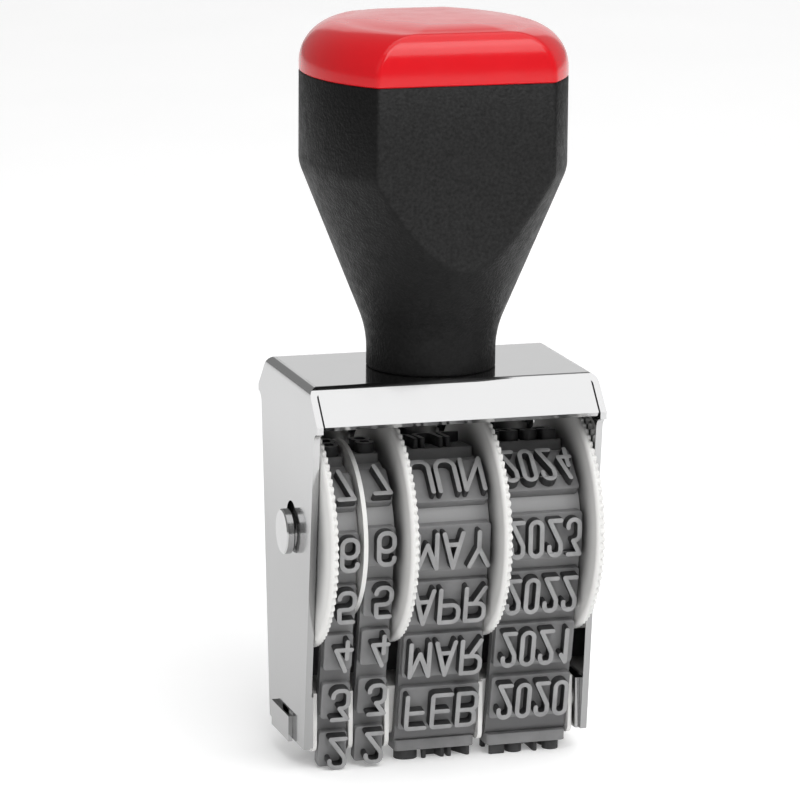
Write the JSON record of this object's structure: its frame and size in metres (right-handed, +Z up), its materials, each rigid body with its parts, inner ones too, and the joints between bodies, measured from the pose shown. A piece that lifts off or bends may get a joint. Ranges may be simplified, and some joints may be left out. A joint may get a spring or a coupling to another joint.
{
  "type": "date stamp",
  "caption": "Hand date stamp with rubber type bands on serrated thumbwheels in a bent metal frame, a black tapered handle and a red cap.",
  "frame": {"origin": "middle of the line of printing faces, under the axle, on the plane that meets the paper", "axes": "+Z up the handle, +X along the axle from the day wheels to the year wheel, +Y away from the person who stamps"},
  "size_m": [0.0364, 0.0284, 0.0854],
  "materials": {
    "plated_sheet": "bright nickel plating",
    "plain_steel": "turned",
    "black_plastic": "fine grain",
    "red_plastic": "polished",
    "white_plastic": "satin moulded",
    "grey_rubber": "matt moulded"
  },
  "bodies": {
    "stamp_frame": {"frame": "plated_sheet", "handle": "black_plastic", "cap": "red_plastic", "handle_screw": "plain_steel", "screw_washer": "plain_steel", "axle": "plated_sheet", "left_axle_bush": "plated_sheet", "right_axle_bush": "plated_sheet", "axle_cap": "plated_sheet", "tens_band": "grey_rubber", "units_band": "grey_rubber", "month_band": "grey_rubber", "year_band": "grey_rubber", "bridge": "white_plastic", "left_bridge_clip": "plated_sheet", "right_bridge_clip": "plated_sheet"},
    "tens_thumbwheel": {"tens_wheel": "white_plastic", "day_divider": "white_plastic"},
    "units_thumbwheel": {"units_wheel": "white_plastic"},
    "month_thumbwheel": {"month_wheel": "white_plastic"},
    "year_thumbwheel": {"year_wheel": "white_plastic"}
  },
  "joints": [
    {"name": "tens_turn", "type": "hinge", "parent": "stamp_frame", "child": "tens_thumbwheel", "pos_m": [0, 0, 0.0273], "axis": [1, 0, 0], "continuous": true},
    {"name": "units_turn", "type": "hinge", "parent": "stamp_frame", "child": "units_thumbwheel", "pos_m": [0, 0, 0.0273], "axis": [1, 0, 0], "continuous": true},
    {"name": "month_turn", "type": "hinge", "parent": "stamp_frame", "child": "month_thumbwheel", "pos_m": [0, 0, 0.0273], "axis": [1, 0, 0], "continuous": true},
    {"name": "year_turn", "type": "hinge", "parent": "stamp_frame", "child": "year_thumbwheel", "pos_m": [0, 0, 0.0273], "axis": [1, 0, 0], "continuous": true}
  ]
}
